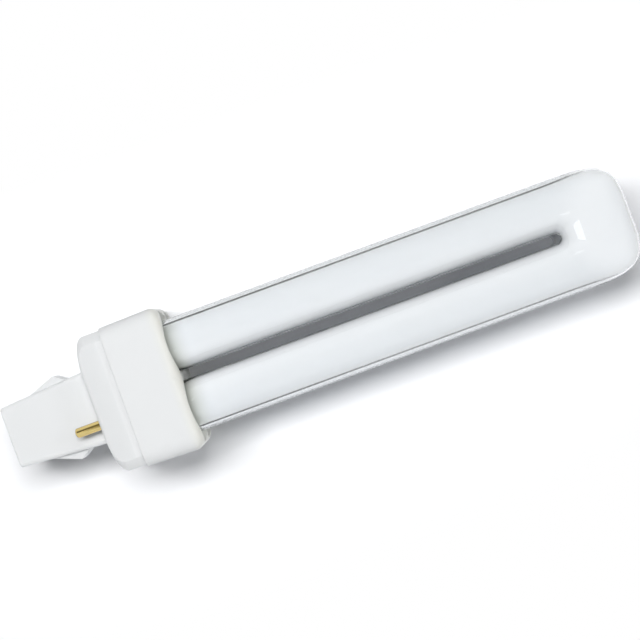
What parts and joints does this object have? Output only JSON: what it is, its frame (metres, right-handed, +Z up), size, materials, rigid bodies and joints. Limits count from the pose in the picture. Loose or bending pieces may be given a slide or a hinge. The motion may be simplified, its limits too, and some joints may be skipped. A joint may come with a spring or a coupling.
{
  "type": "plug-in compact lamp",
  "caption": "Plug-in compact lamp: white coated glass U tubes stand out of a square plastic housing, with a hollow latching post and brass contact pins behind it.",
  "frame": {"origin": "middle of the flat free end of the post", "axes": "+X along the lamp's axis from the post to the tube tips, +Z up and across both U tubes, +Y to the side of the closed legs"},
  "size_m": [0.153, 0.0342, 0.0342],
  "materials": {
    "coated_glass": "glass tube with a white powder coating inside",
    "white_plastic": "moulded, satin",
    "brass": "bright drawn brass",
    "starter_glass": "clear glass",
    "capacitor_coating": "dipped lacquer",
    "nickel_wire": "drawn nickel-plated wire",
    "sleeve_fibre": "woven glass-fibre sleeving",
    "tube_cement": "set mastic"
  },
  "bodies": {
    "root": {"discharge_tube": "coated_glass", "front_housing": "white_plastic", "tube_cement": "tube_cement", "base_cap": "white_plastic", "contact_pin_a": "brass", "contact_pin_b": "brass", "starter_bulb": "starter_glass", "filter_capacitor": "capacitor_coating", "pin_lead_a": "nickel_wire", "pin_lead_b": "nickel_wire", "starter_lead_a": "nickel_wire", "starter_lead_b": "nickel_wire", "lead_sleeve_a": "sleeve_fibre", "lead_sleeve_b": "sleeve_fibre", "crimp_ferrule_a": "brass", "crimp_ferrule_b": "brass", "bulb_lead_a": "nickel_wire", "bulb_lead_b": "nickel_wire", "capacitor_lead_a": "nickel_wire", "capacitor_lead_b": "nickel_wire"}
  },
  "joints": []
}
